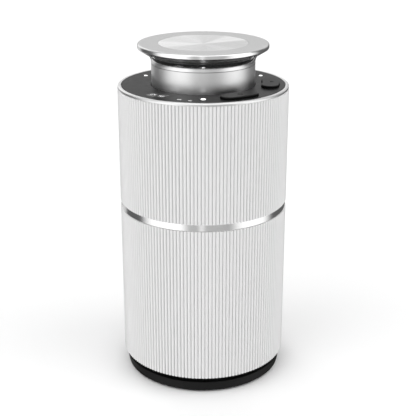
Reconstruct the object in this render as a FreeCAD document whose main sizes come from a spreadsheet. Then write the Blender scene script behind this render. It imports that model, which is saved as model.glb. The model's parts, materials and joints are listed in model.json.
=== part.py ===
import FreeCAD, Part
import math
import os

import Sketcher
from FreeCAD import Placement, Rotation, Vector

# Desktop air purifier: a fluted round casing with a shadow-gap base, a chrome belt, a dark control
# panel and a flared aluminium head that turns as the speed dial.
# Frame: millimetres, +Z up, origin at the centre of the footprint, front (status light) towards -Y.
# Azimuths are degrees from the front, counted towards +X.

DIMENSIONS = [
    # alias, value, what it is
    ("body_r", 65, "crest radius of the fluted casing"),
    ("flute_count", 152, "flutes round the casing"),
    ("flute_root_r", 63.85, "radius of the valleys between flutes"),
    ("casing_bore_r", 61.8, "inner radius of both fluted shells"),
    ("sleeve_r", 61.6, "outer radius of the rings that slide into the shells"),
    ("foot_r", 6, "radius of a foot pad"),
    ("foot_place_r", 50, "radius of the circle of feet"),
    ("foot_drop", 1.2, "height of the feet under the base cover"),
    ("foot_seat", 1.4, "depth of a foot's pocket"),
    ("foot_count", 4, "feet"),
    ("cover_r_low", 61.65, "radius of the base cover at the bottom"),
    ("cover_r_high", 62.9, "radius of the base cover at its rim"),
    ("cover_top_z", 9.2, "top of the base cover's rim"),
    ("cover_floor_z", 3.7, "inner floor of the base cover"),
    ("seat_out_r", 42, "outer radius of the wall the filter stands on"),
    ("seat_in_r", 40, "inner radius of that wall"),
    ("dimple_r", 9, "radius of a finger dimple under the base cover"),
    ("dimple_place_r", 22, "distance of a finger dimple from the middle"),
    ("collar_r", 55, "outer radius of the bayonet collar"),
    ("collar_top_z", 14.6, "top of the bayonet collar and of the filter seat"),
    ("lug_r", 57.4, "radius over the bayonet lugs"),
    ("lug_low_z", 11.6, "underside of the lugs"),
    ("lug_high_z", 13.4, "top of the lugs"),
    ("lug_half_deg", 8, "half the angle of one lug"),
    ("cover_turn_deg", 20, "turn from locked to open"),
    ("ring_low_z", 9.6, "underside of the base ring"),
    ("band_r", 60.3, "radius of the recessed intake band"),
    ("band_bore_r", 58.3, "inner radius of the intake band"),
    ("flange_top_z", 11.2, "top of the base ring's flange"),
    ("intake_count", 36, "intake slots"),
    ("ring_sleeve_top_z", 24, "top of the base ring inside the lower shell"),
    ("shell_low_z", 13.7, "bottom edge of the lower shell"),
    ("belt_low_z", 135.4, "bottom of the belt"),
    ("belt_high_z", 140.9, "top of the belt"),
    ("belt_r", 64.4, "radius of the belt"),
    ("rim_low_z", 229.4, "bottom of the rim ring"),
    ("rim_high_z", 231.6, "top of the rim ring"),
    ("rim_r", 64.75, "outer radius of the rim ring"),
    ("rim_bore_r", 62.25, "inner radius of the rim ring"),
    ("rim_sleeve_low_z", 224, "bottom of the rim ring inside the upper shell"),
    ("ledge_z", 230.2, "ledge of the rim ring that carries the panel's edge"),
    ("ledge_r", 60, "inner radius of that ledge"),
    ("panel_r", 61.9, "radius of the control panel"),
    ("panel_low_z", 229, "underside of the control panel"),
    ("panel_top_z", 231.6, "top of the control panel"),
    ("panel_inner_r", 39.6, "inner edge of the panel, close round the neck"),
    ("outlet_r", 42, "outer radius of the air channel round the neck"),
    ("vent_in_r", 44.5, "inner radius of the outlet slots behind the neck"),
    ("vent_out_r", 56, "outer radius of the outlet slots"),
    ("vent_half_deg", 4, "half the angle of one outlet slot"),
    ("vent_pitch_deg", 11.5, "angle from one outlet slot to the next"),
    ("duct_wall", 1.6, "wall of the outlet duct"),
    ("duct_top_z", 221.9, "where the duct meets the panel's collar"),
    ("button_mid_r", 51.25, "mid radius of both buttons"),
    ("button_half_w", 6.5, "half the radial width of a button"),
    ("button_half_deg", 9.8, "angle from a button's middle to the centre of its round end"),
    ("button_top_z", 233.5, "top of a button"),
    ("button_gap", 0.3, "clearance round a button"),
    ("dome_high", 1.8, "height of a button's rubber dome"),
    ("power_az", 31, "azimuth of the power button"),
    ("mode_az", 86, "azimuth of the mode button"),
    ("lamp_place_r", 52, "radius of the circle of status lights"),
    ("lamp_r", 1.8, "radius of the front status light"),
    ("side_lamp_r", 1.3, "radius of the two status lights further round"),
    ("mark_half_w", 1.5, "half the radial width of an indicator mark"),
    ("display_az", -39.5, "azimuth of the display"),
    ("display_half_deg", 8.2, "half the angle of the display window"),
    ("display_in_r", 46.5, "inner radius of the display window"),
    ("display_out_r", 56.5, "outer radius of the display window"),
    ("display_thick", 1.2, "thickness of the display window"),
    ("panel_board_z", 221.2, "underside of the panel board"),
    ("board_thick", 1.6, "thickness of a circuit board"),
    ("neck_r", 39.25, "radius of the neck"),
    ("neck_wall", 1.6, "wall of the neck sleeve"),
    ("neck_low_z", 206, "bottom of the neck sleeve"),
    ("core_top_z", 244, "top of the core inside the neck"),
    ("encoder_r", 9, "radius of the dial encoder and of the bushes' bore above it"),
    ("encoder_low_z", 220, "underside of the dial encoder"),
    ("encoder_top_z", 229.5, "top of the dial encoder"),
    ("seam_z", 247.6, "top of the neck sleeve"),
    ("seam_gap", 0.35, "gap between the neck and the dial"),
    ("disc_r", 49.45, "radius of the dial's lip"),
    ("disc_top_z", 262.5, "top of the dial"),
    ("lip_low_z", 259.2, "underside of the lip"),
    ("flare_fillet", 7.4, "radius of the flare's hollow"),
    ("dish_r", 33.8, "radius of the spun dish"),
    ("dish_seat_z", 261, "ledge under the dish"),
    ("dish_deep", 1.1, "depth of the dish"),
    ("hub_top_z", 259.4, "top of the dial hub"),
    ("hub_r", 41.4, "radius of the dial hub"),
    ("hub_thick", 3.6, "thickness of the dial hub's web"),
    ("shaft_r", 3, "radius of the dial shaft"),
    ("run_gap", 0.05, "running clearance of a shaft in a bearing"),
    ("bush_r", 6, "outer radius of a dial bush"),
    ("motor_shaft_r", 2, "radius of the motor shaft"),
    ("bearing_r", 5, "outer radius of a motor bearing"),
    ("motor_r", 15.5, "radius of the motor can"),
    ("motor_low_z", 186, "bottom of the motor can"),
    ("motor_high_z", 208, "top of the motor can"),
    ("fan_floor_z", 153, "underside of the fan housing"),
    ("fan_wall_r", 59.4, "outer radius of the fan housing"),
    ("fan_bore_r", 57.5, "inner radius of the fan housing"),
    ("fan_top_z", 185.9, "top of the fan housing"),
    ("shelf_r", 57.5, "radius of the shelf that carries the main board"),
    ("shelf_top_z", 205.9, "top of that shelf"),
    ("inlet_r", 26, "radius of the fan inlet"),
    ("impeller_r", 50, "radius of the impeller"),
    ("impeller_rise", 25, "height of the impeller's back plate above the housing's underside"),
    ("blade_count", 11, "impeller blades"),
    ("vane_count", 9, "guide vanes round the motor mount"),
    ("filter_r", 44.5, "radius of the filter's end caps"),
    ("filter_low_z", 15, "underside of the filter cartridge"),
    ("filter_cap", 2, "thickness of a filter end cap"),
    ("filter_top_z", 149, "top of the filter cartridge"),
    ("pleat_count", 64, "pleats round the filter"),
    ("carbon_r", 27, "outer radius of the carbon sleeve"),
    ("socket_z", 29, "height of the power inlet"),
    ("inlet_board_y", 56.7, "distance of the inlet board behind the middle"),
    ("lead_r", 0.9, "radius of the internal supply lead"),
    ("lead_place_r", 60.6, "radius at which the supply lead runs up the casing"),
]

doc = FreeCAD.newDocument("air_purifier")
dims = doc.addObject("Spreadsheet::Sheet", "dims")
for row, (alias, number, note) in enumerate(DIMENSIONS, start=1):
    dims.set(f"A{row}", note)
    dims.set(f"B{row}", str(number))
    dims.setAlias(f"B{row}", alias)
doc.recompute()

nodes = {}


# ---- helpers: expressions, placement and sketches --------------------------------------------

def value(text):
    """Number that an expression gives now."""
    result = dims.evalExpression(text)
    return float(getattr(result, "Value", result))


def place(item, x="0", y="0", z="0", turn="0"):
    """Bind an object's position and its turn about Z."""
    item.Placement = Placement(Vector(0, 0, 0), Rotation(Vector(0, 0, 1), 0))
    for axis, text in (("x", x), ("y", y), ("z", z)):
        item.setExpression("Placement.Base." + axis, text)
    item.setExpression("Placement.Rotation.Angle", f"({turn}) * 1 deg")
    return item


def polar_x(radius, azimuth):
    return f"({radius}) * sin({azimuth})"


def polar_y(radius, azimuth):
    return f"-({radius}) * cos({azimuth})"


def new_body(label):
    body = doc.addObject("PartDesign::Body", label)
    body.Label = label
    nodes[label] = body
    return body


def origin_part(body, role):
    return next(item for item in body.Origin.OriginFeatures if item.Role == role)


def new_sketch(body, name, role="XY_Plane", z="0", turn="0"):
    sketch = body.newObject("Sketcher::SketchObject", name)
    sketch.AttachmentSupport = [(origin_part(body, role), "")]
    sketch.MapMode = "FlatFace"
    sketch.AttachmentOffset = Placement(Vector(0, 0, 0), Rotation(Vector(0, 0, 1), 0))
    sketch.setExpression("AttachmentOffset.Base.z", z)
    sketch.setExpression("AttachmentOffset.Rotation.Angle", f"({turn}) * 1 deg")
    return sketch


def bind(sketch, text, kind, *where):
    """Add a constraint whose size follows an expression; angles are given in degrees."""
    number = value(text)
    if kind == "Angle":
        index = sketch.addConstraint(Sketcher.Constraint(kind, *where, math.radians(number)))
        sketch.setExpression(f"Constraints[{index}]", f"({text}) * 1 deg")
    else:
        index = sketch.addConstraint(Sketcher.Constraint(kind, *where, number))
        sketch.setExpression(f"Constraints[{index}]", text)


def pin_point(sketch, geometry, point, x, y):
    """Hold a point at (x, y); a zero keeps it on the axis."""
    if abs(value(x)) < 1e-9:
        sketch.addConstraint(Sketcher.Constraint("PointOnObject", geometry, point, -2))
    else:
        bind(sketch, x, "DistanceX", -1, 1, geometry, point)
    if abs(value(y)) < 1e-9:
        sketch.addConstraint(Sketcher.Constraint("PointOnObject", geometry, point, -1))
    else:
        bind(sketch, y, "DistanceY", -1, 1, geometry, point)


def corner_cut(before, corner, after, radius):
    """Tangent points and middle of the arc that rounds a corner."""
    to_before = (before - corner).normalize()
    to_after = (after - corner).normalize()
    half = to_before.getAngle(to_after) / 2
    reach = radius / math.tan(half)
    middle = corner + (to_before + to_after).normalize() * (radius / math.sin(half) - radius)
    return corner + to_before * reach, middle, corner + to_after * reach


def outline(sketch, corners):
    """Closed outline through corners (x, y) or (x, y, radius), all bound to expressions."""
    points = [Vector(value(c[0]), value(c[1]), 0) for c in corners]
    count = len(corners)
    starts, ends, middles = [None] * count, [None] * count, [None] * count
    for i, corner in enumerate(corners):
        starts[i] = ends[i] = points[i]
        if len(corner) == 3:
            cut = corner_cut(points[i - 1], points[i], points[(i + 1) % count], value(corner[2]))
            ends[i], middles[i], starts[i] = cut
    lines = [sketch.addGeometry(Part.LineSegment(starts[i], ends[(i + 1) % count])) for i in range(count)]
    for i, corner in enumerate(corners):
        into, away = lines[i - 1], lines[i]
        if len(corner) == 2:
            sketch.addConstraint(Sketcher.Constraint("Coincident", into, 2, away, 1))
            pin_point(sketch, away, 1, corner[0], corner[1])
            continue
        mark = sketch.addGeometry(Part.Point(points[i]), True)
        pin_point(sketch, mark, 1, corner[0], corner[1])
        sketch.addConstraint(Sketcher.Constraint("PointOnObject", mark, 1, into))
        sketch.addConstraint(Sketcher.Constraint("PointOnObject", mark, 1, away))
        arc = sketch.addGeometry(Part.Arc(ends[i], middles[i], starts[i]))
        bends_left = (ends[i] - points[i - 1]).cross(starts[i] - ends[i]).z > 0
        first, last = (1, 2) if bends_left else (2, 1)
        sketch.addConstraint(Sketcher.Constraint("Tangent", into, 2, arc, first))
        sketch.addConstraint(Sketcher.Constraint("Tangent", arc, last, away, 1))
        bind(sketch, corner[2], "Radius", arc)


def circle(sketch, radius, x="0", y="0"):
    index = sketch.addGeometry(Part.Circle(Vector(value(x), value(y), 0), Vector(0, 0, 1), value(radius)))
    bind(sketch, radius, "Radius", index)
    if abs(value(x)) < 1e-9 and abs(value(y)) < 1e-9:
        sketch.addConstraint(Sketcher.Constraint("Coincident", index, 3, -1, 1))
    else:
        pin_point(sketch, index, 3, x, y)


def arc_about_origin(sketch, radius, half_deg):
    reach = value(radius)
    half = math.radians(value(half_deg))
    low = Vector(reach * math.cos(half), -reach * math.sin(half), 0)
    high = Vector(low.x, -low.y, 0)
    index = sketch.addGeometry(Part.Arc(low, Vector(reach, 0, 0), high))
    sketch.addConstraint(Sketcher.Constraint("Coincident", index, 3, -1, 1))
    bind(sketch, radius, "Radius", index)
    return index, low, high


def sector(sketch, inner, outer, half_deg, middle_deg="0"):
    """Ring sector about the origin, centred on the sketch's X axis or turned from it."""
    corners = []
    for radius, side in ((inner, "-"), (outer, "-"), (outer, "+"), (inner, "+")):
        angle = f"({middle_deg}) {side} ({half_deg})"
        corners.append((f"({radius}) * cos({angle})", f"({radius}) * sin({angle})"))
    points = [Vector(value(x), value(y), 0) for x, y in corners]
    middle = math.radians(value(middle_deg))
    toward = Vector(math.cos(middle), math.sin(middle), 0)
    side_low = sketch.addGeometry(Part.LineSegment(points[0], points[1]))
    far = sketch.addGeometry(Part.Arc(points[1], toward * value(outer), points[2]))
    side_high = sketch.addGeometry(Part.LineSegment(points[2], points[3]))
    near = sketch.addGeometry(Part.Arc(points[0], toward * value(inner), points[3]))
    for line, corner, start in ((side_low, 0, 1), (side_low, 1, 2), (side_high, 2, 1), (side_high, 3, 2)):
        pin_point(sketch, line, start, *corners[corner])
    for arc in (far, near):
        sketch.addConstraint(Sketcher.Constraint("Coincident", arc, 3, -1, 1))
    sketch.addConstraint(Sketcher.Constraint("Coincident", far, 1, side_low, 2))
    sketch.addConstraint(Sketcher.Constraint("PointOnObject", far, 2, side_high))
    sketch.addConstraint(Sketcher.Constraint("Coincident", near, 1, side_low, 1))
    sketch.addConstraint(Sketcher.Constraint("PointOnObject", near, 2, side_high))


def arc_slot(sketch, middle, half_width, half_deg):
    """Kidney shape: a slot bent round the origin with full round ends, centred on the X axis."""
    outer, out_low, out_high = arc_about_origin(sketch, f"({middle}) + ({half_width})", half_deg)
    inner, in_low, in_high = arc_about_origin(sketch, f"({middle}) - ({half_width})", half_deg)
    for side, start, end in ((1, out_high, in_high), (-1, in_low, out_low)):
        centre = (start + end) * 0.5
        angle = math.radians(side * value(half_deg) + 90 * side)
        tip = centre + Vector(math.cos(angle), math.sin(angle), 0) * value(half_width)
        cap = sketch.addGeometry(Part.Arc(start, tip, end))
        spoke = sketch.addGeometry(Part.LineSegment(Vector(0, 0, 0), centre), True)
        sketch.addConstraint(Sketcher.Constraint("Coincident", spoke, 1, -1, 1))
        sketch.addConstraint(Sketcher.Constraint("Coincident", spoke, 2, cap, 3))
        bind(sketch, f"({side}) * ({half_deg})", "Angle", spoke)
        if side > 0:
            sketch.addConstraint(Sketcher.Constraint("Tangent", outer, 2, cap, 1))
            sketch.addConstraint(Sketcher.Constraint("Tangent", cap, 2, inner, 2))
        else:
            sketch.addConstraint(Sketcher.Constraint("Tangent", inner, 1, cap, 1))
            sketch.addConstraint(Sketcher.Constraint("Tangent", cap, 2, outer, 1))


# ---- helpers: features -------------------------------------------------------------------------

def revolve(body, corners):
    """Turn an outline given as (radius, height) corners about Z."""
    sketch = new_sketch(body, body.Name + "_outline", "XZ_Plane")
    outline(sketch, corners)
    feature = body.newObject("PartDesign::Revolution", body.Name + "_turned")
    feature.Profile = sketch
    feature.ReferenceAxis = (sketch, ["V_Axis"])
    feature.Angle = 360
    return feature


def pad(body, sketch, length):
    feature = body.newObject("PartDesign::Pad", sketch.Name + "_pad")
    feature.Profile = sketch
    feature.setExpression("Length", length)
    return feature


def pocket(body, sketch, depth):
    """Cut downwards from the sketch; the volume has to drop."""
    doc.recompute()
    before = body.Shape.Volume
    feature = body.newObject("PartDesign::Pocket", sketch.Name + "_pocket")
    feature.Profile = sketch
    feature.setExpression("Length", depth)
    doc.recompute()
    if body.Shape.Volume > before - 1e-3:
        raise ValueError(f"{feature.Name} cuts nothing")
    return feature


def pattern(body, feature, count):
    """Repeat a feature round Z."""
    repeat = body.newObject("PartDesign::PolarPattern", feature.Name + "_ring")
    repeat.Originals = [feature]
    repeat.Axis = (origin_part(body, "Z_Axis"), [""])
    repeat.Angle = 360
    repeat.setExpression("Occurrences", count)
    body.Tip = repeat
    return repeat


def part_of(item, label):
    item.Label = label
    nodes[label] = item
    return item


def cylinder(name, radius, height, **where):
    item = doc.addObject("Part::Cylinder", name)
    item.setExpression("Radius", radius)
    item.setExpression("Height", height)
    return place(item, **where)


def box(name, length, width, height, x="0", y="0", z="0"):
    """Box centred on x and y, standing on z."""
    item = doc.addObject("Part::Box", name)
    item.setExpression("Length", length)
    item.setExpression("Width", width)
    item.setExpression("Height", height)
    return place(item, x=f"({x}) - ({length}) / 2", y=f"({y}) - ({width}) / 2", z=z)


def cut(name, base, tool):
    item = doc.addObject("Part::Cut", name)
    item.Base = base
    item.Tool = tool
    return item


def fuse(name, pieces):
    item = doc.addObject("Part::MultiFuse", name)
    item.Shapes = pieces
    return item


def group(name, pieces):
    """Several separate solids in one node."""
    item = doc.addObject("Part::Compound", name)
    item.Links = pieces
    return item


def tube(name, outer, inner, low, high):
    """Plain ring between two heights."""
    body = new_body(name)
    sketch = new_sketch(body, name + "_ring", z=low)
    circle(sketch, outer)
    circle(sketch, inner)
    pad(body, sketch, f"({high}) - ({low})")
    return body


def screws(name, spots, head, shank, head_r, shank_r):
    """Group of screws along Z at (radius, azimuth) spots; head and shank are (low, high) heights."""
    pieces = []
    for i, (radius, azimuth) in enumerate(spots):
        spot = {"x": polar_x(radius, azimuth), "y": polar_y(radius, azimuth)}
        top = cylinder(f"{name}_head{i}", head_r, f"({head[1]}) - ({head[0]})", z=head[0], **spot)
        thread = cylinder(f"{name}_shank{i}", shank_r, f"({shank[1]}) - ({shank[0]})", z=shank[0], **spot)
        pieces.append(fuse(f"{name}_{i}", [top, thread]))
    part_of(group(name, pieces), name)


# ---- base ----------------------------------------------------------------------------------------

def make_feet():
    pieces = []
    for i in range(int(value("dims.foot_count"))):
        azimuth = f"45 + {i} * 360 / dims.foot_count"
        pieces.append(cylinder(f"foot{i}", "dims.foot_r", "dims.foot_drop + dims.foot_seat",
                               x=polar_x("dims.foot_place_r", azimuth),
                               y=polar_y("dims.foot_place_r", azimuth)))
    part_of(group("feet", pieces), "feet")


def make_base_cover():
    """Black tray that twists off for the filter: rim, bayonet collar and filter seat."""
    body = new_body("base_cover")
    floor = "dims.cover_floor_z"
    revolve(body, [
        ("0", "dims.foot_drop"),
        ("dims.cover_r_low", "dims.foot_drop", "0.8"),
        ("dims.cover_r_high", "dims.cover_top_z", "0.5"),
        ("dims.cover_r_high - 3", "dims.cover_top_z"),
        ("dims.cover_r_low - 2.2", floor),
        ("dims.collar_r", floor), ("dims.collar_r", "dims.collar_top_z"),
        ("dims.collar_r - 2", "dims.collar_top_z"), ("dims.collar_r - 2", floor),
        ("dims.seat_out_r", floor), ("dims.seat_out_r", "dims.collar_top_z"),
        ("dims.seat_in_r", "dims.collar_top_z"), ("dims.seat_in_r", floor),
        ("0", floor),
    ])
    lug = new_sketch(body, "lug", z="dims.lug_low_z", turn="-90")
    sector(lug, "dims.collar_r - 0.5", "dims.lug_r", "dims.lug_half_deg")
    pattern(body, pad(body, lug, "dims.lug_high_z - dims.lug_low_z"), "3")
    seat = new_sketch(body, "foot_pocket", z="dims.foot_drop + dims.foot_seat", turn="45")
    circle(seat, "dims.foot_r", x="dims.foot_place_r")
    pattern(body, pocket(body, seat, "dims.foot_seat"), "dims.foot_count")
    dimple = new_sketch(body, "finger_dimple", z="dims.foot_drop + 1.2")
    circle(dimple, "dims.dimple_r", x="dims.dimple_place_r")
    pattern(body, pocket(body, dimple, "1.2"), "2")


def make_base_ring():
    """Black ring behind the shadow gap: intake slots, bayonet flange with entry notches and stops."""
    body = new_body("base_ring")
    revolve(body, [
        ("dims.collar_r + 0.4", "dims.ring_low_z"), ("dims.band_r", "dims.ring_low_z"),
        ("dims.band_r", "dims.shell_low_z"), ("dims.sleeve_r", "dims.shell_low_z"),
        ("dims.sleeve_r", "dims.ring_sleeve_top_z"),
        ("dims.sleeve_r - 2", "dims.ring_sleeve_top_z"), ("dims.sleeve_r - 2", "dims.shell_low_z + 2.1"),
        ("dims.band_bore_r", "dims.shell_low_z + 0.8"), ("dims.band_bore_r", "dims.flange_top_z"),
        ("dims.collar_r + 0.4", "dims.flange_top_z"),
    ])
    for side, middle in (("low", "-dims.lug_half_deg - 2.8"),
                         ("high", "dims.cover_turn_deg + dims.lug_half_deg + 2.8")):
        stop = new_sketch(body, f"stop_{side}", z="dims.flange_top_z", turn="-90")
        sector(stop, "dims.collar_r + 0.6", "dims.band_bore_r + 0.5", "1.5", middle)
        pattern(body, pad(body, stop, "2"), "3")
    notch = new_sketch(body, "entry_notch", z="dims.flange_top_z", turn="-90")
    sector(notch, "dims.collar_r - 1", "dims.lug_r + 0.5", "dims.lug_half_deg + 1.1", "dims.cover_turn_deg")
    pattern(body, pocket(body, notch, "dims.flange_top_z - dims.ring_low_z + 0.1"), "3")
    slot = new_sketch(body, "intake_slot", z="dims.flange_top_z + 2.1")
    sector(slot, "dims.band_bore_r - 0.3", "dims.band_r + 1", "3.5")
    pattern(body, pocket(body, slot, "1.9"), "dims.intake_count")


# ---- casing --------------------------------------------------------------------------------------

def fluted_shell(label, low, high):
    """Tube with a ring of half-round flutes outside."""
    body = tube(label, "dims.flute_root_r", "dims.casing_bore_r", low, high)
    half = "dims.flute_root_r * sin(0.97 * 180 / dims.flute_count)"
    root = f"sqrt(dims.flute_root_r ^ 2 - ({half}) ^ 2)"
    inner = "dims.flute_root_r - 1"
    sketch = new_sketch(body, label + "_flute", z=low)
    corners = [(inner, f"-({half})"), (root, f"-({half})"), (root, half), (inner, half)]
    points = [Vector(value(x), value(y), 0) for x, y in corners]
    crest = Vector(value("dims.body_r"), 0, 0)
    sides = [sketch.addGeometry(Part.LineSegment(points[i - 1], points[i])) for i in (1, 3, 0)]
    for side, corner in zip(sides, (1, 3, 0)):
        pin_point(sketch, side, 2, *corners[corner])
        pin_point(sketch, side, 1, *corners[corner - 1])
    bead = sketch.addGeometry(Part.Arc(points[1], crest, points[2]))
    top = sketch.addGeometry(Part.Point(crest), True)
    pin_point(sketch, top, 1, "dims.body_r", "0")
    sketch.addConstraint(Sketcher.Constraint("Coincident", bead, 1, sides[0], 2))
    sketch.addConstraint(Sketcher.Constraint("Coincident", bead, 2, sides[1], 1))
    sketch.addConstraint(Sketcher.Constraint("PointOnObject", top, 1, bead))
    pattern(body, pad(body, sketch, f"({high}) - ({low})"), "dims.flute_count")
    return body


def make_lower_shell():
    """Lower fluted shell, open at the back for the power inlet."""
    body = fluted_shell("lower_shell", "dims.shell_low_z", "dims.belt_low_z")
    sketch = new_sketch(body, "inlet_hole", "XZ_Plane", z="6 - dims.body_r")
    rounded_slot(sketch, "7", "4.2")
    pocket(body, sketch, "7")


def rounded_slot(sketch, half_length, half_height):
    """Lying slot with full round ends, centred at the power inlet's height."""
    reach, rise = value(half_length), value(half_height)
    level, centre = value("dims.socket_z"), value(half_length) - value(half_height)
    top_left, top_right = Vector(-centre, level + rise, 0), Vector(centre, level + rise, 0)
    low_left, low_right = Vector(-centre, level - rise, 0), Vector(centre, level - rise, 0)
    top = sketch.addGeometry(Part.LineSegment(top_right, top_left))
    left = sketch.addGeometry(Part.Arc(top_left, Vector(-reach, level, 0), low_left))
    low = sketch.addGeometry(Part.LineSegment(low_left, low_right))
    right = sketch.addGeometry(Part.Arc(low_right, Vector(reach, level, 0), top_right))
    pin_point(sketch, top, 1, f"({half_length}) - ({half_height})", f"dims.socket_z + ({half_height})")
    pin_point(sketch, top, 2, f"({half_height}) - ({half_length})", f"dims.socket_z + ({half_height})")
    sketch.addConstraint(Sketcher.Constraint("Tangent", top, 2, left, 1))
    sketch.addConstraint(Sketcher.Constraint("Tangent", left, 2, low, 1))
    sketch.addConstraint(Sketcher.Constraint("Tangent", low, 2, right, 1))
    sketch.addConstraint(Sketcher.Constraint("Tangent", right, 2, top, 1))
    sketch.addConstraint(Sketcher.Constraint("Horizontal", low))
    bind(sketch, half_height, "Radius", left)


def make_belt_ring():
    """Bright belt with the sleeve that joins both shells; notched at the back for the supply lead."""
    body = new_body("belt_ring")
    revolve(body, [
        ("dims.sleeve_r - 2", "dims.belt_low_z - 6.4"), ("dims.sleeve_r", "dims.belt_low_z - 6.4"),
        ("dims.sleeve_r", "dims.belt_low_z"), ("dims.belt_r", "dims.belt_low_z", "0.6"),
        ("dims.belt_r", "dims.belt_high_z", "0.6"), ("dims.sleeve_r", "dims.belt_high_z"),
        ("dims.sleeve_r", "dims.belt_high_z + 6.1"), ("dims.sleeve_r - 2", "dims.belt_high_z + 6.1"),
    ])
    notch = new_sketch(body, "belt_lead_notch", z="dims.belt_high_z + 7", turn="90")
    sector(notch, "dims.sleeve_r - 3", "dims.sleeve_r + 0.1", "1.8")
    pocket(body, notch, "dims.belt_high_z - dims.belt_low_z + 14")


def make_rim_ring():
    """Bright rim round the panel, with a ledge under the panel and a sleeve inside the shell."""
    revolve(new_body("rim_ring"), [
        ("dims.ledge_r", "dims.rim_sleeve_low_z"), ("dims.sleeve_r", "dims.rim_sleeve_low_z"),
        ("dims.sleeve_r", "dims.rim_low_z"),
        ("dims.rim_r", "dims.rim_low_z", "0.2"), ("dims.rim_r", "dims.rim_high_z - 0.7", "0.4"),
        ("dims.rim_r - 0.9", "dims.rim_high_z", "0.5"), ("dims.rim_bore_r", "dims.rim_high_z", "0.3"),
        ("dims.rim_bore_r", "dims.ledge_z"), ("dims.ledge_r", "dims.ledge_z"),
    ])


# ---- control panel -------------------------------------------------------------------------------

LAMPS = {
    "front": ("0", "dims.lamp_r"),
    "left": ("-120", "dims.side_lamp_r"),
    "right": ("120", "dims.side_lamp_r"),
}
BUTTON_AZIMUTHS = {"power": "dims.power_az", "mode": "dims.mode_az"}
PANEL_SCREW_SPOTS = [("57.2", azimuth) for azimuth in ("-75", "58", "135", "-135")]
VENT_COUNT = 7
INDICATOR_MARKS = [("-18", "54.5", "3.8"), ("-9.5", "56", "3")]


def facing(azimuth):
    """Turn of a sketch whose X axis points to an azimuth."""
    return f"({azimuth}) - 90"


def mark_sector(sketch, radius, length):
    """Outline of an indicator mark, from its mid radius and its length along the arc."""
    half_deg = f"{length} / {radius} / 2 * 180 / pi"
    sector(sketch, f"{radius} - dims.mark_half_w", f"{radius} + dims.mark_half_w", half_deg)


def make_vents(body):
    """Outlet slots behind the neck, and the opening in the collar that lets the air reach them."""
    gate = new_sketch(body, "collar_gate", z="dims.panel_low_z", turn=facing("180"))
    sector(gate, "dims.outlet_r - 0.5", "dims.outlet_r + dims.duct_wall + 0.4",
           f"{VENT_COUNT} * dims.vent_pitch_deg / 2")
    pocket(body, gate, "dims.panel_low_z - dims.duct_top_z - 1.1")
    for i in range(VENT_COUNT):
        azimuth = f"180 + ({i} - {VENT_COUNT // 2}) * dims.vent_pitch_deg"
        slot = new_sketch(body, f"vent{i}", z="dims.panel_top_z + 0.2", turn=facing(azimuth))
        sector(slot, "dims.vent_in_r", "dims.vent_out_r", "dims.vent_half_deg")
        pocket(body, slot, "dims.panel_top_z - dims.panel_low_z + 0.4")


def make_control_panel():
    """Dark annular panel with a collar round the air channel, and openings for its parts."""
    body = new_body("control_panel")
    revolve(body, [
        ("dims.outlet_r + dims.duct_wall", "dims.panel_low_z"), ("dims.ledge_r - 0.1", "dims.panel_low_z"),
        ("dims.ledge_r - 0.1", "dims.ledge_z + 0.05"), ("dims.panel_r", "dims.ledge_z + 0.05"),
        ("dims.panel_r", "dims.panel_top_z"), ("dims.panel_inner_r", "dims.panel_top_z", "0.3"),
        ("dims.panel_inner_r", "dims.panel_top_z - 1.6"), ("dims.outlet_r", "dims.panel_top_z - 1.6"),
        ("dims.outlet_r", "dims.duct_top_z"), ("dims.outlet_r + dims.duct_wall", "dims.duct_top_z"),
    ])
    make_vents(body)
    boss_low = "dims.panel_board_z + dims.board_thick"
    for i, (radius, azimuth) in enumerate(PANEL_SCREW_SPOTS):
        boss = new_sketch(body, f"boss{i}", z=boss_low, turn=facing(azimuth))
        circle(boss, "2.6", x=radius)
        pad(body, boss, f"dims.panel_low_z - ({boss_low}) + 0.3")
        pilot = new_sketch(body, f"pilot{i}", z=f"({boss_low}) + 5", turn=facing(azimuth))
        circle(pilot, "1.2", x=radius)
        pocket(body, pilot, "5.1")
    through = "dims.panel_top_z - dims.panel_low_z + 0.4"
    for name, azimuth in BUTTON_AZIMUTHS.items():
        window = new_sketch(body, name + "_window", z="dims.panel_top_z + 0.2", turn=facing(azimuth))
        arc_slot(window, "dims.button_mid_r", "dims.button_half_w + dims.button_gap", "dims.button_half_deg")
        pocket(body, window, through)
    for name, (azimuth, radius) in LAMPS.items():
        hole = new_sketch(body, f"lamp_hole_{name}", z="dims.panel_top_z + 0.2", turn=facing(azimuth))
        circle(hole, radius, x="dims.lamp_place_r")
        pocket(body, hole, through)
    for i, (azimuth, radius, length) in enumerate(INDICATOR_MARKS):
        hole = new_sketch(body, f"indicator_hole{i}", z="dims.panel_top_z + 0.2", turn=facing(azimuth))
        mark_sector(hole, radius, length)
        pocket(body, hole, through)
    recess = new_sketch(body, "display_recess", z="dims.panel_top_z + 0.2", turn=facing("dims.display_az"))
    sector(recess, "dims.display_in_r", "dims.display_out_r", "dims.display_half_deg")
    pocket(body, recess, "dims.display_thick + 0.2")
    opening = new_sketch(body, "display_opening", z="dims.panel_top_z + 0.2", turn=facing("dims.display_az"))
    sector(opening, "dims.display_in_r + 1.6", "dims.display_out_r - 1.6", "dims.display_half_deg - 1.6")
    pocket(body, opening, through)


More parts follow.
